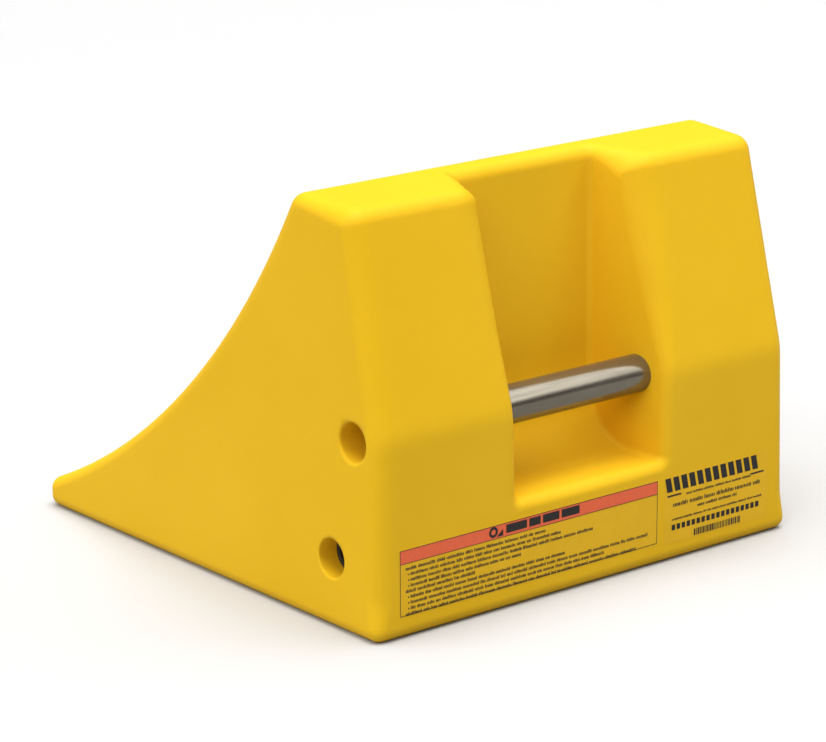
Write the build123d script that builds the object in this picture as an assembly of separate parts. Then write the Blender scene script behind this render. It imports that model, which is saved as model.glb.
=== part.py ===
from build123d import *
from math import asin, cos, sin, sqrt
import os

# Cast polyurethane wheel chock with a steel handle bar and a steel-lined cross bore.
#
# Frame: X across the chock, Y from the toe (-Y) to the rear face (+Y), Z up.
# The origin is the centre of the base, on the ground. All sizes are in millimetres.

# Casting, outer shape
LENGTH = 381.0  # toe to rear face
BASE_WIDTH = 372.0  # across the base
HEIGHT = 282.0  # ground to the front edge of the top
TOE_HEIGHT = 19.0
KNEE_HEIGHT = 135.0  # where the upright rear face starts to lean forward
REAR_TOP_Y = 157.0  # rear edge of the top
FRONT_TOP_Y = 95.5  # front edge of the top, where the tyre face ends
TOP_FALL = 2.5  # the top slopes down to the rear by this much
SIDE_DRAFT = 8.2  # each side leans in by this much from base to top
TYRE_FACE_RADIUS = 574.0  # hollow curve that takes the tyre

# Rounding of the casting's edges
BASE_EDGE_RADIUS = 8.5
TOP_EDGE_RADIUS = 12.5
KNEE_RADIUS = 60.0
SIDE_EDGE_RADIUS = 8.0

# Anti-slip ribs moulded on the tyre face
RIB_COUNT = 10
RIB_LENGTH = 305.0
RIB_WIDTH = 5.2
RIB_RISE = 2.0

# Hand pocket, open to the top and to the rear
POCKET_WALL_TOP_Y = 117.0  # front wall of the pocket at the top
POCKET_WALL_LOW_Y = 123.0  # front wall where the scoop begins
POCKET_SCOOP_RADIUS = 42.0
POCKET_FLOOR_Z = 75.0  # floor at the foot of the scoop
POCKET_LIP_Z = 73.0  # floor where it meets the rear face
POCKET_HALF_WIDTH = 58.0  # at the front wall
POCKET_FLARE = 9.5  # extra half width at the rear face
POCKET_CORNER_RADIUS = 8.0
POCKET_RIM_RADIUS = 8.0

# Steel handle bar in the upper cross bore
BAR_DIAMETER = 26.7
BAR_LENGTH = 300.0
BAR_CHAMFER = 1.0
BAR_Y = 162.5
BAR_Z = 130.5
UPPER_MOUTH_RADIUS = 2.0

# Steel tube that lines the lower cross bore
TUBE_OUTER_DIAMETER = 26.7
TUBE_INNER_DIAMETER = 20.9
TUBE_LENGTH = 340.0
TUBE_Y = 142.5
TUBE_Z = 48.0
LOWER_MOUTH_RADIUS = 1.0

# Printed films, flush in shallow seats on the rear face
FILM_THICKNESS = 0.4
RATING_LABEL_SIZE = (227.0, 46.0)
RATING_LABEL_CENTRE = (53.5, 38.4)
ID_LABEL_SIZE = (98.0, 48.0)
ID_LABEL_CENTRE = (-115.0, 37.5)
FILM_CORNER_RADIUS = 1.5

REAR_Y = LENGTH / 2
TOE_Y = -LENGTH / 2
BEYOND = 40.0  # how far cutting tools stand outside the casting
NEARBY = 2.0  # an edge this near to a face or an axis counts as on it
FRONT_TOP = Vector(FRONT_TOP_Y, HEIGHT)
TOE_TOP = Vector(TOE_Y, TOE_HEIGHT)


def tyre_face_centre():
    """Centre of the tyre face's arc, as a point (y, z) in the side view."""
    chord = FRONT_TOP - TOE_TOP
    outward = Vector(-chord.Y, chord.X).normalized()
    to_centre = sqrt(TYRE_FACE_RADIUS**2 - (chord.length / 2) ** 2)
    return (FRONT_TOP + TOE_TOP) * 0.5 + outward * to_centre


def tyre_face_point(fraction):
    """Point (y, z) on the tyre face, from 0 at the toe to 1 at the top."""
    centre = tyre_face_centre()
    from_toe = TOE_TOP - centre
    sweep = 2 * asin((FRONT_TOP - TOE_TOP).length / 2 / TYRE_FACE_RADIUS) * fraction
    turned_y = from_toe.X * cos(sweep) - from_toe.Y * sin(sweep)
    turned_z = from_toe.X * sin(sweep) + from_toe.Y * cos(sweep)
    return centre + Vector(turned_y, turned_z)


def side_view():
    """Outline of the casting in the side view, with its edges rounded."""
    rear_top = Vector(REAR_TOP_Y, HEIGHT - TOP_FALL)
    knee = Vector(REAR_Y, KNEE_HEIGHT)
    rear_foot = Vector(REAR_Y, 0)
    toe_foot = Vector(TOE_Y, 0)
    outline = Polyline(FRONT_TOP, rear_top, knee, rear_foot, toe_foot, TOE_TOP)
    outline += ThreePointArc(TOE_TOP, tyre_face_point(0.5), FRONT_TOP)
    face = make_face(outline)
    corners = [
        (FRONT_TOP, TOP_EDGE_RADIUS),
        (rear_top, TOP_EDGE_RADIUS),
        (knee, KNEE_RADIUS),
        (rear_foot, BASE_EDGE_RADIUS),
        (toe_foot, BASE_EDGE_RADIUS),
        (TOE_TOP, BASE_EDGE_RADIUS),
    ]
    for corner, radius in corners:
        face = fillet(face.vertices().sort_by_distance(corner)[0], radius)
    return face


def blank():
    """The casting before its pocket and bores: side view, drafted and rounded."""
    block = extrude(Plane.YZ * side_view(), amount=BASE_WIDTH / 2, both=True)
    for side in (1, -1):
        outward = Vector(side * HEIGHT, 0, SIDE_DRAFT)
        drafted_side = Plane(origin=(side * BASE_WIDTH / 2, 0, 0), z_dir=outward)
        block = split(block, bisect_by=drafted_side, keep=Keep.BOTTOM)
    side_faces = block.faces().sort_by(Axis.X)
    side_edges = side_faces[0].edges() + side_faces[-1].edges()
    return fillet(side_edges, SIDE_EDGE_RADIUS)


def ribs():
    """Round-ended ribs, evenly spaced up the tyre face."""
    rib_radius = (RIB_WIDTH**2 / 4 + RIB_RISE**2) / (2 * RIB_RISE)
    sunk = rib_radius - RIB_RISE
    centre = tyre_face_centre()
    bars = []
    for number in range(1, RIB_COUNT + 1):
        point = tyre_face_point(number / (RIB_COUNT + 1))
        axis_point = point + (point - centre).normalized() * sunk
        straight = RIB_LENGTH / 2 - rib_radius
        place = Pos(0, axis_point.X, axis_point.Y)
        bar = place * Rot(0, 90, 0) * Cylinder(rib_radius, 2 * straight)
        for side in (1, -1):
            bar += place * Pos(side * straight, 0, 0) * Sphere(rib_radius)
        bars.append(bar)
    return bars


def pocket():
    """Solid cut away for the hand pocket: upright wall, scoop, floor, flared flanks."""
    above = HEIGHT + BEYOND
    behind = REAR_Y + BEYOND
    scoop_top = POCKET_FLOOR_Z + POCKET_SCOOP_RADIUS
    lean = (POCKET_WALL_LOW_Y - POCKET_WALL_TOP_Y) / (HEIGHT - scoop_top)
    floor_fall = (POCKET_FLOOR_Z - POCKET_LIP_Z) / (REAR_Y - POCKET_WALL_LOW_Y)
    wall_foot = Vector(POCKET_WALL_LOW_Y, POCKET_FLOOR_Z)
    outline = Polyline(
        Vector(POCKET_WALL_TOP_Y - lean * BEYOND, above),
        wall_foot,
        Vector(behind, POCKET_FLOOR_Z - floor_fall * (behind - POCKET_WALL_LOW_Y)),
        Vector(behind, above),
        close=True,
    )
    face = make_face(outline)
    face = fillet(face.vertices().sort_by_distance(wall_foot)[0], POCKET_SCOOP_RADIUS)
    wide = POCKET_HALF_WIDTH + BEYOND
    cutter = extrude(Plane.YZ * face, amount=wide, both=True)
    depth = REAR_Y - POCKET_WALL_TOP_Y
    for side in (1, -1):
        outward = Vector(side * depth, -POCKET_FLARE, 0)
        corner = (side * POCKET_HALF_WIDTH, POCKET_WALL_TOP_Y, 0)
        cutter = split(cutter, bisect_by=Plane(origin=corner, z_dir=outward), keep=Keep.BOTTOM)
    front = POCKET_WALL_TOP_Y + POCKET_SCOOP_RADIUS
    inner_edges = []
    for flank in (cutter.faces().sort_by(Axis.X)[0], cutter.faces().sort_by(Axis.X)[-1]):
        for edge in flank.edges():
            if edge.center().Y < front or edge.center().Z < POCKET_FLOOR_Z:
                inner_edges.append(edge)
    return fillet(inner_edges, POCKET_CORNER_RADIUS)


def bore(diameter, y, z):
    """Round bore right across the casting."""
    return Pos(0, y, z) * Rot(0, 90, 0) * Cylinder(diameter / 2, BASE_WIDTH + BEYOND)


def mouth_edges(body, y, z):
    """The two edges where a cross bore opens on the sides."""
    found = []
    for edge in body.edges().filter_by(GeomType.LINE, reverse=True):
        middle = edge.center(CenterOf.BOUNDING_BOX)
        on_axis = abs(middle.Y - y) < NEARBY and abs(middle.Z - z) < NEARBY
        if on_axis and abs(middle.X) > BASE_WIDTH / 2 - SIDE_DRAFT - NEARBY:
            found.append(edge)
    return found


def rim_edges(body):
    """The edge loop where the pocket opens on the top and on the rear."""
    found = []
    for edge in body.edges():
        middle = edge @ 0.5
        across = abs(middle.X) < POCKET_HALF_WIDTH + POCKET_FLARE + NEARBY
        on_top = middle.Z > HEIGHT - TOP_EDGE_RADIUS and middle.Y > POCKET_WALL_TOP_Y - NEARBY
        rear_here = REAR_Y - max(0, middle.Z - KNEE_HEIGHT) * rear_lean()
        on_rear = middle.Y > rear_here - NEARBY and middle.Z > POCKET_LIP_Z - NEARBY
        if across and (on_top or on_rear):
            found.append(edge)
    return found


def rear_lean():
    """How far the upper rear face goes forward for each unit that it rises."""
    return (REAR_Y - REAR_TOP_Y) / (HEIGHT - TOP_FALL - KNEE_HEIGHT)


def film(size, centre):
    """A printed film whose outer side is flush with the rear face."""
    sheet = RectangleRounded(*size, FILM_CORNER_RADIUS)
    seat = Plane(origin=(centre[0], REAR_Y, centre[1]), x_dir=(-1, 0, 0), z_dir=(0, 1, 0))
    return extrude(seat * sheet, amount=-FILM_THICKNESS)


def handle_bar():
    """Round steel bar across the hand pocket."""
    bar = Cylinder(BAR_DIAMETER / 2, BAR_LENGTH)
    bar = chamfer(bar.edges().filter_by(GeomType.CIRCLE), BAR_CHAMFER)
    return Pos(0, BAR_Y, BAR_Z) * Rot(0, 90, 0) * bar


def cross_tube():
    """Steel tube inside the lower cross bore."""
    tube = Cylinder(TUBE_OUTER_DIAMETER / 2, TUBE_LENGTH)
    tube -= Cylinder(TUBE_INNER_DIAMETER / 2, TUBE_LENGTH)
    return Pos(0, TUBE_Y, TUBE_Z) * Rot(0, 90, 0) * tube


def chock_body(films):
    """The polyurethane casting."""
    body = blank() - pocket()
    body = fillet(rim_edges(body), POCKET_RIM_RADIUS)
    body -= bore(BAR_DIAMETER, BAR_Y, BAR_Z)
    body -= bore(TUBE_OUTER_DIAMETER, TUBE_Y, TUBE_Z)
    body = fillet(mouth_edges(body, BAR_Y, BAR_Z), UPPER_MOUTH_RADIUS)
    body = fillet(mouth_edges(body, TUBE_Y, TUBE_Z), LOWER_MOUTH_RADIUS)
    for printed_film in films:
        body -= printed_film
    for rib in ribs():
        body += rib
    return body


rating_label = film(RATING_LABEL_SIZE, RATING_LABEL_CENTRE)
id_label = film(ID_LABEL_SIZE, ID_LABEL_CENTRE)

sub_parts = {
    "chock_body": chock_body([rating_label, id_label]),
    "handle_bar": handle_bar(),
    "cross_tube": cross_tube(),
    "rating_label": rating_label,
    "id_label": id_label,
}

os.makedirs("parts", exist_ok=True)
for node, shape in sub_parts.items():
    export_step(shape, f"parts/{node}.step")
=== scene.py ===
from math import cos, hypot, pi, radians, sin, sqrt
from random import Random

import bpy
import numpy as np
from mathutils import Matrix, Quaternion, Vector


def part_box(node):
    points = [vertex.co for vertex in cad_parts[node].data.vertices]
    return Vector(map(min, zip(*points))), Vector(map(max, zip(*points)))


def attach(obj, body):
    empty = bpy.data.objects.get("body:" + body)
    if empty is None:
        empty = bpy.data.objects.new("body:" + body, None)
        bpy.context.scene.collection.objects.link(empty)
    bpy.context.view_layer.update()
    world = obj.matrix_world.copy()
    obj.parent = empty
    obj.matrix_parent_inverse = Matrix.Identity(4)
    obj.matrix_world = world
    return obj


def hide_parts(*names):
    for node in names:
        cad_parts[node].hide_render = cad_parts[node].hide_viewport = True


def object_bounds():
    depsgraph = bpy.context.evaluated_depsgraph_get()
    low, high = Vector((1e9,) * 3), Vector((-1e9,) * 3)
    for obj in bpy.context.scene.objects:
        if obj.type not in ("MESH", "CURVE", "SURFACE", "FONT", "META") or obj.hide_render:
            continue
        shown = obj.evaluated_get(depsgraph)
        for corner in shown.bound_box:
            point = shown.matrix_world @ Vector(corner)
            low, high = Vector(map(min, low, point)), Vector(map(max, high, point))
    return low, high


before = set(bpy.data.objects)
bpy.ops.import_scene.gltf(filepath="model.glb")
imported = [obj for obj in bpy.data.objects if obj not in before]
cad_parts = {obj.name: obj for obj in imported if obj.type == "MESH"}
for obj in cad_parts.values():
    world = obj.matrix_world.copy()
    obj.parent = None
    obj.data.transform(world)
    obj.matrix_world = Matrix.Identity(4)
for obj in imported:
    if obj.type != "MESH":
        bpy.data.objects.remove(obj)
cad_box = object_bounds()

# Looks of a cast polyurethane wheel chock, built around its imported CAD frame.
#
# Metres, +Z up. X runs across the chock, Y from the toe (-Y) to the rear face (+Y).

# Places taken from the frame
BODY_LOW, BODY_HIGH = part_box("chock_body")
BAR_LOW, BAR_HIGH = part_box("handle_bar")
TUBE_LOW, TUBE_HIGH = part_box("cross_tube")
RATING_LOW, RATING_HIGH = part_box("rating_label")
ID_LOW, ID_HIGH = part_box("id_label")
TOE_Y = BODY_LOW.y
REAR_Y = BODY_HIGH.y
BAR_CENTRE = (BAR_LOW + BAR_HIGH) / 2
BAR_RADIUS = (BAR_HIGH.z - BAR_LOW.z) / 2
TUBE_CENTRE = (TUBE_LOW + TUBE_HIGH) / 2
TUBE_RADIUS = (TUBE_HIGH.z - TUBE_LOW.z) / 2

# Casting, side view points are (y, z)
BASE_WIDTH = 0.372
HEIGHT = 0.282
SIDE_DRAFT = 0.0082  # each side leans in by this much from base to top
KNEE = (REAR_Y, 0.135)
REAR_TOP = (0.157, 0.2795)
FRONT_TOP = (0.0955, 0.282)
TOE_TOP = (TOE_Y, 0.019)
TYRE_FACE_RADIUS = 0.574
KNEE_RADIUS = 0.060
TOP_RADIUS = 0.0125
BASE_RADIUS = 0.0085
SIDE_RADIUS = 0.0087
REAR_CORNER_RADIUS = 0.014

# Hand pocket
POCKET_WALL_TOP = (0.117, 0.282)
POCKET_WALL_FOOT = (0.123, 0.075)
POCKET_LIP = (REAR_Y, 0.073)
POCKET_HALF_WIDTH = 0.057  # at the foot of the front wall
POCKET_SPREAD = 0.004  # extra half width at the top of the front wall
POCKET_FLARE = 0.134  # extra half width for each unit behind the front wall
POCKET_SCOOP_RADIUS = 0.042
POCKET_CORNER_RADIUS = 0.004

# Rounding of the pocket's rim
RIM_RADIUS = 0.013  # halfway up the rear face
RIM_RADIUS_AT_TOP = 0.020
RIM_RADIUS_AT_LIP = 0.0075
RIM_RADIUS_AT_LIP_ENDS = 0.0065
RIM_RADIUS_ON_WALL = 0.0085

# Where the rounding changes, from start to end along one axis
SIDE_ROUNDER_ALONG = (0.09, 0.165)
SIDE_ROUNDER_UP = (0.005, 0.03)
LIP_TO_REAR_UP = (0.12, 0.19)
LIP_END_ACROSS = (0.035, 0.075)
RIM_ROUNDER_UP = (0.15, 0.27)
RIM_ROUNDER_ALONG = (0.119, 0.152)

# Cross bores
UPPER_MOUTH_RADIUS = 0.002
LOWER_MOUTH_RADIUS = 0.001
RECESS_END_X = BAR_HIGH.x - 0.003  # the recess takes in the bar's end
AT_RECESS_X = RECESS_END_X - 0.001
BEYOND_SIDE = 0.004  # how far the cutters stand outside the casting

# Grid that the casting's mesh comes from: a start, then (end, spacing) of each stretch
FINE = 0.0022
COARSE = 0.006
GRID_HALF_ACROSS = (0, (0.046, COARSE), (0.094, FINE), (0.166, COARSE), (0.190, FINE))
GRID_ALONG = (-0.195, (-0.172, FINE), (0.080, COARSE), (0.195, FINE))
GRID_UP = (-0.003, (0.022, FINE), (0.058, COARSE), (0.125, FINE), (0.262, COARSE), (0.286, FINE))
SETTLE_ROUNDS = 5

# Steel
BAR_CHAMFER = 0.001
BAR_STATIONS = (0.0, 0.05, 0.1)
TUBE_WALL = 0.0029
TUBE_CHAMFER = 0.0005
SHARP_ANGLE = radians(30)

# Ribs on the tyre face
RIB_COUNT = 10
RIB_LENGTH = 0.305
RIB_HALF_WIDTH = 0.0026
RIB_RISE = 0.002

# Printed films on the rear face, distances in front of it
FILM_FRONT = 0.00012
BAND_FRONT = 0.00016
INK_FRONT = 0.00022
FILM_CORNER_RADIUS = 0.0015
PRINT_SEED = 7

# Print on the rating film. A row of small marks is (drop from the film's top, indent,
# length, mark height), and the deeper indent has a bullet.
BAND_HEIGHT = 0.0095
BAND_MARGIN = 0.0009
BAND_TOP_MARGIN = 0.0005
BORDER_WIDTH = 0.0004
BORDER_MARGIN = 0.0008
BORDER_TOP_MARGIN = 0.0004
SIGN_X = 0.0875
SIGN_SIZE = 0.0076
HEADER_BARS = ((0.0765, 0.018), (0.0565, 0.010), (0.0445, 0.0145), (0.028, 0.016))  # (start, length)
HEADER_BAR_HALF_HEIGHT = 0.0029
PLAIN_INDENT = 0.0055
BULLET_INDENT = 0.0095
BULLET_GAP = 0.0012
BULLET_RISE = 0.0004
BULLET_SIZE = 0.0010
RATING_ROWS = (
    (0.0132, PLAIN_INDENT, 0.120, 0.0023),
    (0.0171, BULLET_INDENT, 0.123, 0.0023),
    (0.0210, BULLET_INDENT, 0.152, 0.0023),
    (0.0249, BULLET_INDENT, 0.088, 0.0023),
    (0.0287, PLAIN_INDENT, 0.048, 0.0023),
    (0.0326, BULLET_INDENT, 0.131, 0.0023),
    (0.0365, BULLET_INDENT, 0.208, 0.0023),
    (0.0404, BULLET_INDENT, 0.167, 0.0023),
    (0.0443, PLAIN_INDENT, 0.198, 0.0023),
)

# Print on the identity film: places are distances from its +X end and drops from its top
HEADING_COUNT = 12
HEADING_START = 0.0075
HEADING_PITCH = 0.0074
HEADING_WIDTH = 0.0052
HEADING_LEAN = 0.0022
HEADING_DROPS = (0.0110, 0.0008)
RULE_SPANS = ((0.0155, 0.0025), (0.0945, 0.0815))
RULE_DROPS = (0.0145, 0.0133)
ID_ROWS = (
    (0.0148, 0.020, 0.058, 0.0017),
    (0.0207, 0.008, 0.080, 0.0030),
    (0.0254, 0.031, 0.034, 0.0022),
    (0.0312, 0.007, 0.081, 0.0016),
)
BLOCK_COUNT = 18
BLOCK_START = 0.0085
BLOCK_PITCH = 0.0047
BLOCK_HALF_WIDTH = 0.0016
BLOCK_DROPS = (0.0390, 0.0350)
STRIPE_SPAN = (0.028, 0.072)
STRIPE_WIDTHS = (0.0006, 0.0009, 0.0014)
STRIPE_GAPS = (0.0006, 0.0009)
STRIPE_DROPS = (0.0470, 0.0422)

# Most of a noise node's values lie between these
NOISE_LOW = 0.3
NOISE_HIGH = 0.7

# Camera
CAMERA_AZIMUTH = 140.91  # degrees; 0 looks along +Y
CAMERA_ELEVATION = 16.25
CAMERA_ROLL = -0.33
CAMERA_DISTANCE = 2.419
CAMERA_LENS = 149.8  # mm, on a 36 mm sensor
AIM_FROM_CENTRE = Vector((0.0054, 0.0071, -0.0305))

# Studio
WHITE = (1.0, 1.0, 1.0)
SURROUND_LIGHT = 0.13
FLOOR_SEEN = 0.56  # grey of the floor as the camera sees it
FLOOR_BOUNCE = 0.32  # and as it lights the object
FLOOR_HALF_SIZE = 12.0

# Soft lights: (name, azimuth, elevation, width in degrees, strength)
SOFT_LIGHTS = (
    ("top", 0, 90, 60, 3.6),
    ("rear", 180, 60, 50, 0.5),
    ("key", 118, 35, 30, 0.85),
    ("side", 65, 30, 50, 0.9),
)

# Long softbox that gives the handle bar its highlight
STRIP_AZIMUTH = 236.7
STRIP_ELEVATION = 43.6
STRIP_ROLL = -46.3
STRIP_DISTANCE = 2.5
STRIP_SIZE = (0.5, 3.1)
STRIP_WATTS = 16


# ---------------------------------------------------------------- distances


def line_normal(start, end):
    """Unit normal on the right of the way from start to end, in the side view."""
    along = np.subtract(end, start)
    return np.array([along[1], -along[0]]) / hypot(*along)


def line_distance(y, z, start, end):
    """Distance to the right of the line from start to end."""
    normal = line_normal(start, end)
    return (y - start[0]) * normal[0] + (z - start[1]) * normal[1]


def join(a, b, radius, cosine=0.0):
    """Greater of two distances, with the edge between them rounded.

    cosine is that of the angle between the two surfaces' normals.
    """
    u = a + radius
    v = b + radius
    squared = u * u + v * v - 2 * u * v * cosine
    arc = np.sqrt(np.maximum(squared, 0) / (1 - cosine**2)) - radius
    return np.where((u > v * cosine) & (v > u * cosine), arc, np.maximum(a, b))


def ease(value, start, end):
    """Smooth step from 0 at start to 1 at end."""
    share = np.clip((value - start) / (end - start), 0, 1)
    return share * share * (3 - 2 * share)


def between(low, high, share):
    return low + (high - low) * share


def find_tyre_centre():
    """Centre of the tyre face's arc in the side view."""
    chord = np.subtract(FRONT_TOP, TOE_TOP)
    half = hypot(*chord) / 2
    outward = np.array([-chord[1], chord[0]]) / (2 * half)
    return np.add(TOE_TOP, FRONT_TOP) / 2 + outward * sqrt(TYRE_FACE_RADIUS**2 - half**2)


TYRE_CENTRE = find_tyre_centre()


def side_view_distance(y, z):
    """Distance outside the casting's side view."""
    lean_normal = line_normal(KNEE, REAR_TOP)
    top_normal = line_normal(REAR_TOP, FRONT_TOP)
    tyre_normal_at_top = (TYRE_CENTRE - FRONT_TOP) / TYRE_FACE_RADIUS
    tyre_normal_at_toe = (TYRE_CENTRE - TOE_TOP) / TYRE_FACE_RADIUS
    lean = line_distance(y, z, KNEE, REAR_TOP)
    outline = join(y - REAR_Y, lean, KNEE_RADIUS, lean_normal[0])
    top = line_distance(y, z, REAR_TOP, FRONT_TOP)
    outline = join(outline, top, TOP_RADIUS, lean_normal @ top_normal)
    tyre = TYRE_FACE_RADIUS - np.hypot(y - TYRE_CENTRE[0], z - TYRE_CENTRE[1])
    outline = join(outline, tyre, TOP_RADIUS, tyre_normal_at_top @ top_normal)
    outline = join(outline, TOE_Y - y, BASE_RADIUS, -tyre_normal_at_toe[0])
    return join(outline, -z, BASE_RADIUS)


def pocket_distance(x, y, z):
    """Distance outside the hand pocket's space."""
    wall_normal = line_normal(POCKET_WALL_TOP, POCKET_WALL_FOOT)
    floor_normal = line_normal(POCKET_WALL_FOOT, POCKET_LIP)
    wall = line_distance(y, z, POCKET_WALL_TOP, POCKET_WALL_FOOT)
    floor = line_distance(y, z, POCKET_WALL_FOOT, POCKET_LIP)
    scoop = join(wall, floor, POCKET_SCOOP_RADIUS, wall_normal @ floor_normal)
    rise = (z - POCKET_WALL_FOOT[1]) / (POCKET_WALL_TOP[1] - POCKET_WALL_FOOT[1])
    wall_y = POCKET_WALL_FOOT[0] + (POCKET_WALL_TOP[0] - POCKET_WALL_FOOT[0]) * rise
    half_width = POCKET_HALF_WIDTH + POCKET_SPREAD * rise + POCKET_FLARE * (y - wall_y)
    return join(scoop, (x - half_width) / hypot(1, POCKET_FLARE), POCKET_CORNER_RADIUS)


def casting_distance(points):
    """Distance outside the casting, before its bores."""
    x, y, z = np.abs(points[:, 0]), points[:, 1], points[:, 2]
    side = ((x - BASE_WIDTH / 2) * HEIGHT + z * SIDE_DRAFT) / hypot(HEIGHT, SIDE_DRAFT)
    at_rear = ease(y, *SIDE_ROUNDER_ALONG) * ease(z, *SIDE_ROUNDER_UP)
    outside = join(side_view_distance(y, z), side, between(SIDE_RADIUS, REAR_CORNER_RADIUS, at_rear))
    lip_radius = between(RIM_RADIUS_AT_LIP, RIM_RADIUS_AT_LIP_ENDS, ease(x, *LIP_END_ACROSS))
    rear_radius = between(RIM_RADIUS, RIM_RADIUS_AT_TOP, ease(z, *RIM_ROUNDER_UP))
    top_radius = between(RIM_RADIUS_ON_WALL, rear_radius, ease(y, *RIM_ROUNDER_ALONG))
    rim_radius = between(top_radius, lip_radius, 1 - ease(z, *LIP_TO_REAR_UP))
    return join(outside, -pocket_distance(x, y, z), rim_radius)


def bored_distance(points):
    """Distance outside the casting with its bores and their rounded mouths."""
    x, y, z = np.abs(points[:, 0]), points[:, 1], points[:, 2]
    distance = casting_distance(points)
    into_recess = BAR_RADIUS - np.hypot(y - BAR_CENTRE.y, z - BAR_CENTRE.z)
    recessed = join(distance, into_recess, UPPER_MOUTH_RADIUS)
    distance = np.where(x > AT_RECESS_X, recessed, distance)
    into_bore = TUBE_RADIUS - np.hypot(y - TUBE_CENTRE.y, z - TUBE_CENTRE.z)
    return join(distance, into_bore, LOWER_MOUTH_RADIUS)


def gradient(distance, points, step=2e-6):
    """Direction and rate at which the distance grows, at each point."""
    slopes = np.empty_like(points)
    for axis in range(3):
        shift = np.zeros(3)
        shift[axis] = step
        slopes[:, axis] = (distance(points + shift) - distance(points - shift)) / (2 * step)
    return slopes


# ------------------------------------------------------------ mesh building


def new_object(name, data):
    made = bpy.data.objects.new(name, data)
    bpy.context.scene.collection.objects.link(made)
    return made


def mesh_from(name, points, faces, smooth=True):
    mesh = bpy.data.meshes.new(name)
    mesh.from_pydata([tuple(point) for point in points], [], [tuple(face) for face in faces])
    for polygon in mesh.polygons:
        polygon.use_smooth = smooth
    return mesh


def grid_lines(start, *spans):
    """Positions along one axis: each span is (end, spacing)."""
    lines = [start]
    for end, spacing in spans:
        count = max(1, round((end - lines[-1]) / spacing))
        lines += list(np.linspace(lines[-1], end, count + 1)[1:])
    return np.array(lines)


def net(distance, lines):
    """Quads near the surface where distance is 0: one point in each grid cell that it crosses."""
    axes = np.meshgrid(*lines, indexing="ij")
    flat = np.stack([axis.ravel() for axis in axes], 1)
    inside = (distance(flat) < 0).reshape(axes[0].shape)
    nx, ny, nz = (count - 1 for count in inside.shape)
    corners = np.zeros((nx, ny, nz), int)
    for i, j, k in np.ndindex(2, 2, 2):
        corners += inside[i : i + nx, j : j + ny, k : k + nz]
    crossed = (corners > 0) & (corners < 8)
    number = np.full(crossed.shape, -1)
    number[crossed] = np.arange(crossed.sum())
    cells = np.argwhere(crossed)
    middles = [(line[1:] + line[:-1]) / 2 for line in lines]
    points = np.stack([middles[axis][cells[:, axis]] for axis in range(3)], 1)
    quads = []
    for axis in range(3):
        along = np.moveaxis(inside, axis, 0).astype(int)
        around = np.moveaxis(number, axis, 0)
        change = along[1:, 1:-1, 1:-1] - along[:-1, 1:-1, 1:-1]
        i, j, k = np.nonzero(change)
        ring = (around[i, j, k], around[i, j + 1, k], around[i, j + 1, k + 1], around[i, j, k + 1])
        found = np.stack(ring, 1)
        turned = (change[i, j, k] > 0) ^ (axis == 1)
        found[turned] = found[turned][:, ::-1]
        quads.append(found)
    return points, np.concatenate(quads)


def settle(distance, points, quads, rounds):
    """Moves the points onto the surface and evens out their spacing along it."""
    edges = np.concatenate([quads[:, [side, (side + 1) % 4]] for side in range(4)])
    edges = np.unique(np.sort(edges, 1), axis=0)
    count = len(points)
    neighbours = np.bincount(edges.ravel(), minlength=count)[:, None]
    for number in range(rounds):
        for _ in range(6 if number == 0 else 2):
            slope = gradient(distance, points)
            steepness = np.maximum((slope**2).sum(1), 0.25)
            points = points - (distance(points) / steepness)[:, None] * slope
        if number == rounds - 1:
            break
        total = np.zeros_like(points)
        for near, far in ((0, 1), (1, 0)):
            for axis in range(3):
                weights = points[edges[:, far], axis]
                total[:, axis] += np.bincount(edges[:, near], weights, count)
        slope = gradient(distance, points)
        slope /= np.linalg.norm(slope, axis=1)[:, None]
        shift = (total / neighbours - points) * 0.5
        points = points + shift - (shift * slope).sum(1)[:, None] * slope
    return points


def turned_mesh(name, outline, centre, closed=False, segments=96):
    """Surface turned about a line along X through centre; outline points are (x, radius)."""
    points = []
    for x, radius in outline:
        for step in range(segments):
            angle = 2 * pi * step / segments
            points.append((x, centre.y + radius * cos(angle), centre.z + radius * sin(angle)))
    faces = []
    count = len(outline)
    for ring in range(count if closed else count - 1):
        near = ring * segments
        far = (ring + 1) % count * segments
        for step in range(segments):
            beside = (step + 1) % segments
            faces.append((near + step, near + beside, far + beside, far + step))
    if not closed:
        last = (count - 1) * segments
        faces.append(tuple(reversed(range(segments))))
        faces.append(tuple(range(last, last + segments)))
    return mesh_from(name, points, faces)


def cut(thing, cutters):
    """Cuts the cutters out of thing and removes them."""
    for cutter in cutters:
        modifier = thing.modifiers.new("cut", "BOOLEAN")
        modifier.operation = "DIFFERENCE"
        modifier.solver = "EXACT"
        modifier.object = cutter
    graph = bpy.context.evaluated_depsgraph_get()
    mesh = bpy.data.meshes.new_from_object(thing.evaluated_get(graph))
    thing.modifiers.clear()
    thing.data = mesh
    for cutter in cutters:
        bpy.data.objects.remove(cutter)


# ------------------------------------------------------------------ casting


def side_x(z):
    """Half width of the casting at height z."""
    return BASE_WIDTH / 2 - SIDE_DRAFT * z / HEIGHT


def mouth_outline(side, radius, mouth):
    """Outline (x, radius) of a bore's rounded mouth, from inside it to beyond the side."""
    outline = []
    for degrees in range(0, 75, 10):
        angle = radians(degrees)
        outline.append((side - mouth + mouth * sin(angle), radius + mouth * (1 - cos(angle))))
    slope = sin(angle) / cos(angle)
    end = side + BEYOND_SIDE
    outline.append((end, outline[-1][1] + slope * (end - outline[-1][0])))
    return outline


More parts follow.
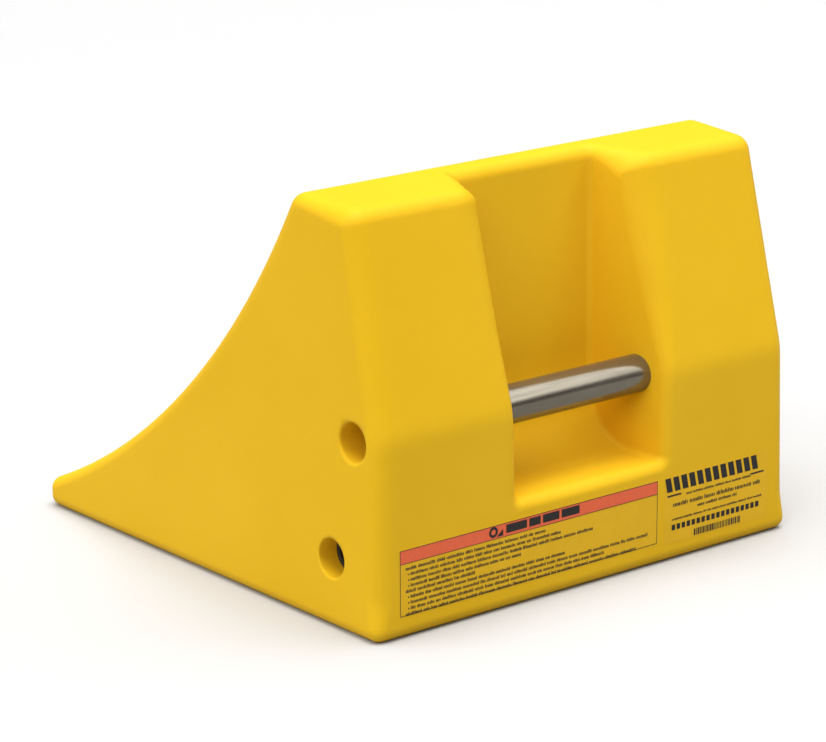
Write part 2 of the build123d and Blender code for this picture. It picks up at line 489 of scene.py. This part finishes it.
def bore_cutters():
    """Two blind recesses at the handle bar's ends and the through bore of the cross tube."""
    upper = [(RECESS_END_X, BAR_RADIUS)]
    upper += mouth_outline(side_x(BAR_CENTRE.z), BAR_RADIUS, UPPER_MOUTH_RADIUS)
    mirrored = [(-x, radius) for x, radius in reversed(upper)]
    lower = mouth_outline(side_x(TUBE_CENTRE.z), TUBE_RADIUS, LOWER_MOUTH_RADIUS)
    through = [(-x, radius) for x, radius in reversed(lower)] + lower
    cutters = []
    for outline, centre in ((upper, BAR_CENTRE), (mirrored, BAR_CENTRE), (through, TUBE_CENTRE)):
        cutters.append(new_object("cutter", turned_mesh("cutter", outline, centre)))
    return cutters


def casting():
    """The block as one mesh, with normals worked out from its exact shape."""
    half = grid_lines(*GRID_HALF_ACROSS)
    across = np.concatenate([-half[:0:-1], half])
    points, quads = net(casting_distance, (across, grid_lines(*GRID_ALONG), grid_lines(*GRID_UP)))
    points = settle(casting_distance, points, quads, SETTLE_ROUNDS)
    body = new_object("casting", mesh_from("casting", points, quads))
    cut(body, bore_cutters())
    mesh = body.data
    places = np.zeros(len(mesh.vertices) * 3)
    mesh.vertices.foreach_get("co", places)
    normals = gradient(bored_distance, places.reshape(-1, 3))
    normals /= np.linalg.norm(normals, axis=1)[:, None]
    mesh.normals_split_custom_set_from_vertices([tuple(normal) for normal in normals])
    return body


def rib(points, faces, centre, tangent, outward):
    """Adds one round-ended rib, half sunk in the tyre face."""
    straight = RIB_LENGTH / 2 - RIB_HALF_WIDTH
    cap = [(RIB_HALF_WIDTH * sin(turn), cos(turn)) for turn in np.radians(range(15, 90, 15))]
    stations = [(-straight - x, scale) for x, scale in reversed(cap)]
    stations += [(x, 1.0) for x in np.linspace(-straight, straight, 9)]
    stations += [(straight + x, scale) for x, scale in cap]
    segments = 20
    start = len(points)
    for x, scale in stations:
        for step in range(segments):
            angle = 2 * pi * step / segments
            beside = tangent * (RIB_HALF_WIDTH * scale * cos(angle))
            above = outward * (RIB_RISE * scale * sin(angle))
            points.append((x, *(centre + beside + above)))
    for ring in range(len(stations) - 1):
        near = start + ring * segments
        for step in range(segments):
            beside = (step + 1) % segments
            faces.append((near + step, near + segments + step, near + segments + beside, near + beside))
    tips = len(points)
    points.append((-RIB_LENGTH / 2, *centre))
    points.append((RIB_LENGTH / 2, *centre))
    last = start + (len(stations) - 1) * segments
    for step in range(segments):
        beside = (step + 1) % segments
        faces.append((tips, start + step, start + beside))
        faces.append((tips + 1, last + beside, last + step))


def tyre_face_ribs():
    """Ribs evenly spaced up the tyre face, as one piece."""
    from_toe = np.subtract(TOE_TOP, TYRE_CENTRE)
    from_top = np.subtract(FRONT_TOP, TYRE_CENTRE)
    first = np.arctan2(from_toe[1], from_toe[0])
    turn = np.arctan2(from_top[1], from_top[0]) - first
    points, faces = [], []
    for number in range(1, RIB_COUNT + 1):
        angle = first + turn * number / (RIB_COUNT + 1)
        radial = np.array([cos(angle), sin(angle)])
        tangent = np.array([-radial[1], radial[0]])
        rib(points, faces, TYRE_CENTRE + radial * TYRE_FACE_RADIUS, tangent, -radial)
    return new_object("tyre_face_ribs", mesh_from("tyre_face_ribs", points, faces))


# -------------------------------------------------------------------- steel


def handle_bar():
    end = BAR_HIGH.x
    half = [(x, BAR_RADIUS) for x in (*BAR_STATIONS, end - BAR_CHAMFER)]
    half.append((end, BAR_RADIUS - BAR_CHAMFER))
    outline = [(-x, radius) for x, radius in reversed(half[1:])] + half
    mesh = turned_mesh("steel_handle_bar", outline, BAR_CENTRE)
    mesh.set_sharp_from_angle(angle=SHARP_ANGLE)
    return new_object("steel_handle_bar", mesh)


def cross_tube():
    end = TUBE_HIGH.x
    inner = TUBE_RADIUS - TUBE_WALL
    shoulder = end - TUBE_CHAMFER
    half = [(end, inner + TUBE_CHAMFER), (end, TUBE_RADIUS - TUBE_CHAMFER), (shoulder, TUBE_RADIUS)]
    outline = [(-x, radius) for x, radius in half]
    outline += list(reversed(half))
    outline += [(shoulder, inner), (-shoulder, inner)]
    mesh = turned_mesh("cross_tube_liner", outline, TUBE_CENTRE, closed=True)
    mesh.set_sharp_from_angle(angle=SHARP_ANGLE)
    return new_object("cross_tube_liner", mesh)


# ------------------------------------------------------------------- prints


def plate(outline, back, front):
    """Points and faces of a flat plate; outline is (x, z), its sides at y = back and front."""
    count = len(outline)
    points = [(x, back, z) for x, z in outline] + [(x, front, z) for x, z in outline]
    faces = [tuple(range(count)), tuple(reversed(range(count, 2 * count)))]
    for step in range(count):
        beside = (step + 1) % count
        faces.append((step, count + step, count + beside, beside))
    return points, faces


def ring_plate(outer, inner, back, front):
    """Points and faces of a flat plate with a hole; both outlines have as many points."""
    count = len(outer)
    points = [(x, back, z) for x, z in outer] + [(x, front, z) for x, z in outer]
    points += [(x, back, z) for x, z in inner] + [(x, front, z) for x, z in inner]
    faces = []
    for step in range(count):
        beside = (step + 1) % count
        faces.append((step, count + step, count + beside, beside))
        faces.append((count + step, 3 * count + step, 3 * count + beside, count + beside))
        faces.append((3 * count + step, 2 * count + step, 2 * count + beside, 3 * count + beside))
        faces.append((2 * count + step, step, beside, 2 * count + beside))
    return points, faces


def joined(name, parts):
    """One flat-shaded object from several lots of points and faces."""
    all_points, all_faces = [], []
    for points, faces in parts:
        start = len(all_points)
        all_points += points
        all_faces += [tuple(start + corner for corner in face) for face in faces]
    return new_object(name, mesh_from(name, all_points, all_faces, smooth=False))


def rectangle(left, right, bottom, top, lean=0.0):
    """Outline whose top leans by lean; left is the -X side."""
    return [(left, bottom), (right, bottom), (right + lean, top), (left + lean, top)]


def rounded_rectangle(left, right, bottom, top, radius):
    outline = []
    corners = ((right, bottom, -90), (right, top, 0), (left, top, 90), (left, bottom, 180))
    for x, z, first in corners:
        corner_x = x - radius if x == right else x + radius
        corner_z = z - radius if z == top else z + radius
        for degrees in range(first, first + 91, 18):
            turn = radians(degrees)
            outline.append((corner_x + radius * cos(turn), corner_z + radius * sin(turn)))
    return outline


def circle(x, z, radius, count=40):
    turns = [2 * pi * step / count for step in range(count)]
    return [(x + radius * cos(turn), z + radius * sin(turn)) for turn in turns]


def mark_row(random, left, length, bottom, height):
    """Outlines of short strokes in groups, like a row of very small print, from +X to -X."""
    stroke = 0.29 * height
    end = left - length
    x = left
    outlines = []
    while x > end:
        for _ in range(random.randint(4, 14)):
            rise = height * random.choice((0.7, 0.75, 0.75, 1.0))
            outlines.append(rectangle(x - stroke, x, bottom, bottom + rise))
            x -= stroke * random.uniform(1.4, 1.8)
        x -= stroke * 1.5
    return outlines


def film(name, low, high):
    """A printed film's sheet, a little proud of the rear face."""
    outline = rounded_rectangle(low.x, high.x, low.z, high.z, FILM_CORNER_RADIUS)
    return joined(name, [plate(outline, low.y, REAR_Y + FILM_FRONT)])


def ink(outline):
    """One printed mark as a thin plate on its film."""
    return plate(outline, REAR_Y + FILM_FRONT / 2, REAR_Y + INK_FRONT)


def ink_ring(outer, inner):
    return ring_plate(outer, inner, REAR_Y + FILM_FRONT / 2, REAR_Y + INK_FRONT)


def wheel_and_wedge(x, z, size):
    """Sign of a wheel held by a chock."""
    wheel = ink_ring(circle(x, z, size / 2), circle(x, z, size / 4))
    foot = z - size / 2
    wedge = [(x - size * 1.1, foot), (x - size * 0.35, foot), (x - size * 1.1, foot + size * 0.6)]
    return [wheel, ink(wedge)]


def rating_band():
    """The coloured band along the top of the rating film."""
    left, right = RATING_LOW.x + BAND_MARGIN, RATING_HIGH.x - BAND_MARGIN
    outline = rectangle(left, right, RATING_HIGH.z - BAND_HEIGHT, RATING_HIGH.z - BAND_TOP_MARGIN)
    return joined("rating_band", [plate(outline, REAR_Y + FILM_FRONT / 2, REAR_Y + BAND_FRONT)])


def rating_border():
    """The frame round the rating film's print and the rule below its band."""
    left, right = RATING_LOW.x + BORDER_MARGIN, RATING_HIGH.x - BORDER_MARGIN
    bottom, top = RATING_LOW.z + BORDER_MARGIN, RATING_HIGH.z - BORDER_TOP_MARGIN
    outer = rectangle(left, right, bottom, top)
    left, right = left + BORDER_WIDTH, right - BORDER_WIDTH
    inner = rectangle(left, right, bottom + BORDER_WIDTH, top - BORDER_WIDTH)
    rule = RATING_HIGH.z - BAND_HEIGHT
    return [ink_ring(outer, inner), ink(rectangle(left, right, rule - BORDER_WIDTH, rule))]


def rating_print():
    random = Random(PRINT_SEED)
    parts = rating_border()
    middle = RATING_HIGH.z - BAND_HEIGHT / 2
    low, high = middle - HEADER_BAR_HALF_HEIGHT, middle + HEADER_BAR_HALF_HEIGHT
    parts += wheel_and_wedge(SIGN_X, middle, SIGN_SIZE)
    parts += [ink(rectangle(start - length, start, low, high)) for start, length in HEADER_BARS]
    for drop, indent, length, height in RATING_ROWS:
        base = RATING_HIGH.z - drop - height / 2
        start = RATING_HIGH.x - indent
        if indent == BULLET_INDENT:
            x, z = start + BULLET_GAP, base + BULLET_RISE
            parts.append(ink(rectangle(x, x + BULLET_SIZE, z, z + BULLET_SIZE)))
        parts += [ink(outline) for outline in mark_row(random, start, length, base, height)]
    return joined("rating_print", parts)


def stripes(random, start, end, low, high):
    """Outlines of upright stripes of uneven width, from +X to -X."""
    outlines = []
    x = start
    while x > end:
        width = random.choice(STRIPE_WIDTHS)
        outlines.append(rectangle(x - width, x, low, high))
        x -= width + random.choice(STRIPE_GAPS)
    return outlines


def id_print():
    random = Random(PRINT_SEED + 1)
    left, top = ID_HIGH.x, ID_HIGH.z
    low, high = (top - drop for drop in HEADING_DROPS)
    outlines = []
    for number in range(HEADING_COUNT):
        x = left - HEADING_START - number * HEADING_PITCH
        outlines.append(rectangle(x, x + HEADING_WIDTH, low, high, lean=HEADING_LEAN))
    low, high = (top - drop for drop in RULE_DROPS)
    outlines += [rectangle(left - far, left - near, low, high) for far, near in RULE_SPANS]
    for drop, indent, length, height in ID_ROWS:
        outlines += mark_row(random, left - indent, length, top - drop - height / 2, height)
    low, high = (top - drop for drop in BLOCK_DROPS)
    for number in range(BLOCK_COUNT):
        x = left - BLOCK_START - number * BLOCK_PITCH
        outlines.append(rectangle(x - BLOCK_HALF_WIDTH, x + BLOCK_HALF_WIDTH, low, high))
    low, high = (top - drop for drop in STRIPE_DROPS)
    start, end = (left - distance for distance in STRIPE_SPAN)
    outlines += stripes(random, start, end, low, high)
    return joined("id_print", [ink(outline) for outline in outlines])


# ---------------------------------------------------------------- materials


def new_material(name):
    material = bpy.data.materials.new(name)
    material.use_nodes = True
    nodes = material.node_tree.nodes
    return material, nodes, material.node_tree.links, nodes["Principled BSDF"]


def noise(nodes, links, scale, detail, stretch=(1, 1, 1)):
    """Noise from 0 to 1 fixed to the object; a low stretch draws it out along that axis."""
    place = nodes.new("ShaderNodeTexCoord")
    sized = nodes.new("ShaderNodeMapping")
    sized.inputs["Scale"].default_value = stretch
    made = nodes.new("ShaderNodeTexNoise")
    made.inputs["Scale"].default_value = scale
    made.inputs["Detail"].default_value = detail
    links.new(place.outputs["Object"], sized.inputs["Vector"])
    links.new(sized.outputs["Vector"], made.inputs["Vector"])
    return made.outputs["Fac"]


def colour_between(nodes, links, factor, colour_low, colour_high):
    """Colour that goes from colour_low to colour_high over the middle of factor's range."""
    ramp = nodes.new("ShaderNodeValToRGB")
    ramp.color_ramp.elements[0].position = NOISE_LOW
    ramp.color_ramp.elements[0].color = (*colour_low, 1)
    ramp.color_ramp.elements[1].position = NOISE_HIGH
    ramp.color_ramp.elements[1].color = (*colour_high, 1)
    links.new(factor, ramp.inputs["Fac"])
    return ramp.outputs["Color"]


def number_between(nodes, links, factor, low, high):
    """Number that goes from low to high over the middle of factor's range."""
    span = nodes.new("ShaderNodeMapRange")
    span.inputs["From Min"].default_value = NOISE_LOW
    span.inputs["From Max"].default_value = NOISE_HIGH
    span.inputs["To Min"].default_value = low
    span.inputs["To Max"].default_value = high
    links.new(factor, span.inputs["Value"])
    return span.outputs["Result"]


def bump(nodes, links, height, distance, strength, normal=None):
    made = nodes.new("ShaderNodeBump")
    made.inputs["Distance"].default_value = distance
    made.inputs["Strength"].default_value = strength
    links.new(height, made.inputs["Height"])
    if normal is not None:
        links.new(normal, made.inputs["Normal"])
    return made.outputs["Normal"]


def urethane_material():
    """Satin cast urethane: faint colour clouds, fine speckle and a slight orange peel."""
    material, nodes, links, shader = new_material("cast_urethane")
    cloud = noise(nodes, links, 9, 3)
    speck = noise(nodes, links, 700, 2)
    colour = colour_between(nodes, links, cloud, (0.83, 0.49, 0.012), (0.87, 0.52, 0.017))
    links.new(colour, shader.inputs["Base Color"])
    links.new(number_between(nodes, links, speck, 0.42, 0.56), shader.inputs["Roughness"])
    shader.inputs["Specular IOR Level"].default_value = 0.1
    peel = noise(nodes, links, 160, 2)
    rough = bump(nodes, links, peel, 0.0006, 0.25)
    links.new(bump(nodes, links, speck, 0.0002, 0.3, rough), shader.inputs["Normal"])
    return material


def with_painted_shade_below(nodes, links, colour):
    """The same colour with painted shade, darker towards the underside of the handle bar."""
    place = nodes.new("ShaderNodeTexCoord")
    split = nodes.new("ShaderNodeSeparateXYZ")
    links.new(place.outputs["Object"], split.inputs["Vector"])
    shade_share = nodes.new("ShaderNodeMapRange")
    shade_share.inputs["From Min"].default_value = BAR_CENTRE.z - BAR_RADIUS * 0.4
    shade_share.inputs["From Max"].default_value = BAR_CENTRE.z - BAR_RADIUS * 0.95
    links.new(split.outputs["Z"], shade_share.inputs["Value"])
    # painted shade: a dark colour mixed in towards the bar's underside
    painted_shade = nodes.new("ShaderNodeMix")
    painted_shade.data_type = "RGBA"
    painted_shade.inputs["B"].default_value = (0.07, 0.062, 0.055, 1)
    links.new(shade_share.outputs["Result"], painted_shade.inputs["Factor"])
    links.new(colour, painted_shade.inputs["A"])
    return painted_shade.outputs["Result"]


def steel_material():
    """Drawn steel with fine streaks along the bar and cloudy stains, and painted shade towards its
    underside.
    """
    material, nodes, links, shader = new_material("drawn_steel")
    shader.inputs["Metallic"].default_value = 0.8
    streak = noise(nodes, links, 900, 3, (0.02, 1, 1))
    stain = noise(nodes, links, 40, 4, (0.3, 1, 1))
    colour = colour_between(nodes, links, stain, (0.19, 0.165, 0.125), (0.27, 0.245, 0.195))
    # base colour with painted shade on the bar's underside
    links.new(with_painted_shade_below(nodes, links, colour), shader.inputs["Base Color"])
    links.new(number_between(nodes, links, streak, 0.14, 0.26), shader.inputs["Roughness"])
    links.new(bump(nodes, links, streak, 0.00005, 0.15), shader.inputs["Normal"])
    return material


def dark_mill_material():
    """Dark scaly steel, as it leaves the mill."""
    material, nodes, links, shader = new_material("dark_mill_finish")
    scale = noise(nodes, links, 300, 3)
    colour = colour_between(nodes, links, scale, (0.012, 0.011, 0.010), (0.035, 0.030, 0.026))
    links.new(colour, shader.inputs["Base Color"])
    links.new(number_between(nodes, links, scale, 0.5, 0.7), shader.inputs["Roughness"])
    links.new(bump(nodes, links, scale, 0.0002, 0.4), shader.inputs["Normal"])
    return material


def film_material():
    """Matte film in almost the casting's colour."""
    material, nodes, links, shader = new_material("label_film")
    cloud = noise(nodes, links, 60, 2)
    colour = colour_between(nodes, links, cloud, (0.82, 0.478, 0.014), (0.86, 0.508, 0.019))
    links.new(colour, shader.inputs["Base Color"])
    links.new(number_between(nodes, links, cloud, 0.36, 0.48), shader.inputs["Roughness"])
    shader.inputs["Specular IOR Level"].default_value = 0.15
    links.new(bump(nodes, links, cloud, 0.0002, 0.2), shader.inputs["Normal"])
    return material


def ink_material(name, colour_low, colour_high):
    """Printing ink with slight wear."""
    material, nodes, links, shader = new_material(name)
    wear = noise(nodes, links, 500, 3)
    links.new(colour_between(nodes, links, wear, colour_low, colour_high), shader.inputs["Base Color"])
    links.new(number_between(nodes, links, wear, 0.45, 0.6), shader.inputs["Roughness"])
    links.new(bump(nodes, links, wear, 0.0001, 0.2), shader.inputs["Normal"])
    return material


def paper_material():
    """Pale floor that lights the object less than it shows."""
    material, nodes, links, shader = new_material("studio_paper")
    path = nodes.new("ShaderNodeLightPath")
    grey = nodes.new("ShaderNodeMapRange")
    grey.inputs["To Min"].default_value = FLOOR_BOUNCE
    grey.inputs["To Max"].default_value = FLOOR_SEEN
    links.new(path.outputs["Is Camera Ray"], grey.inputs["Value"])
    links.new(grey.outputs["Result"], shader.inputs["Base Color"])
    shader.inputs["Roughness"].default_value = 0.9
    return material


def finish_piece(piece, material, slot, *replaced):
    """Gives a piece its material and its place in the frame."""
    piece.data.materials.clear()
    piece.data.materials.append(material)
    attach(piece, "root")
    if replaced:
        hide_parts(*replaced)


# ------------------------------------------------------------------- studio


def direction(azimuth, elevation):
    """Unit vector from the object towards a viewer at these angles, in degrees."""
    turn = radians(azimuth)
    rise = radians(elevation)
    return Vector((sin(turn) * cos(rise), -cos(turn) * cos(rise), sin(rise)))


def face_object(thing, azimuth, elevation, roll=0.0):
    """Turns a camera or light to look at the object from these angles."""
    thing.rotation_mode = "QUATERNION"
    look = (-direction(azimuth, elevation)).to_track_quat("-Z", "Y")
    thing.rotation_quaternion = look @ Quaternion((0, 0, 1), radians(roll))


def add_camera(centre):
    camera = new_object("camera", bpy.data.cameras.new("camera"))
    back = direction(CAMERA_AZIMUTH, CAMERA_ELEVATION)
    camera.location = centre + AIM_FROM_CENTRE + back * CAMERA_DISTANCE
    face_object(camera, CAMERA_AZIMUTH, CAMERA_ELEVATION, CAMERA_ROLL)
    camera.data.lens = CAMERA_LENS
    camera.data.sensor_width = 36
    camera.data.clip_end = 60
    bpy.context.scene.camera = camera


def add_soft_light(name, azimuth, elevation, spread, strength):
    """Even soft light from one side; spread is its width in degrees."""
    data = bpy.data.lights.new(name, "SUN")
    data.angle = radians(spread)
    data.energy = strength
    face_object(new_object(name, data), azimuth, elevation)


def add_strip_light(centre):
    data = bpy.data.lights.new("strip", "AREA")
    data.shape = "RECTANGLE"
    data.size, data.size_y = STRIP_SIZE
    data.energy = STRIP_WATTS
    light = new_object("strip", data)
    light.location = centre + direction(STRIP_AZIMUTH, STRIP_ELEVATION) * STRIP_DISTANCE
    face_object(light, STRIP_AZIMUTH, STRIP_ELEVATION, STRIP_ROLL)


def add_floor():
    half = FLOOR_HALF_SIZE
    corners = [(-half, -half, 0), (half, -half, 0), (half, half, 0), (-half, half, 0)]
    floor = new_object("studio_floor", mesh_from("studio_floor", corners, [(0, 1, 2, 3)]))
    floor.data.materials.append(paper_material())


def add_world():
    """White backdrop that lights the object less than it shows."""
    world = bpy.data.worlds.new("studio")
    bpy.context.scene.world = world
    world.use_nodes = True
    nodes = world.node_tree.nodes
    links = world.node_tree.links
    surround = nodes["Background"]
    surround.inputs["Color"].default_value = (*WHITE, 1)
    surround.inputs["Strength"].default_value = SURROUND_LIGHT
    backdrop = nodes.new("ShaderNodeBackground")
    backdrop.inputs["Color"].default_value = (*WHITE, 1)
    path = nodes.new("ShaderNodeLightPath")
    either = nodes.new("ShaderNodeMixShader")
    links.new(path.outputs["Is Camera Ray"], either.inputs["Fac"])
    links.new(surround.outputs["Background"], either.inputs[1])
    links.new(backdrop.outputs["Background"], either.inputs[2])
    links.new(either.outputs["Shader"], nodes["World Output"].inputs["Surface"])


# --------------------------------------------------------------------- main

centre = (cad_box[0] + cad_box[1]) / 2
add_camera(centre)
add_world()
add_floor()
for light in SOFT_LIGHTS:
    add_soft_light(*light)
add_strip_light(centre)
bpy.context.scene.view_settings.view_transform = "Standard"

urethane = urethane_material()
finish_piece(casting(), urethane, "urethane", "chock_body")
finish_piece(tyre_face_ribs(), urethane, "urethane")
finish_piece(handle_bar(), steel_material(), "bar_steel", "handle_bar")
finish_piece(cross_tube(), dark_mill_material(), "tube_steel", "cross_tube")
label_film = film_material()
black_ink = ink_material("black_ink", (0.006, 0.005, 0.004), (0.014, 0.012, 0.010))
orange_ink = ink_material("orange_ink", (0.83, 0.125, 0.040), (0.90, 0.150, 0.050))
finish_piece(film("rating_film", RATING_LOW, RATING_HIGH), label_film, "label_film", "rating_label")
finish_piece(film("id_film", ID_LOW, ID_HIGH), label_film, "label_film", "id_label")
finish_piece(rating_band(), orange_ink, "label_film")
finish_piece(rating_print(), black_ink, "label_film")
finish_piece(id_print(), black_ink, "label_film")
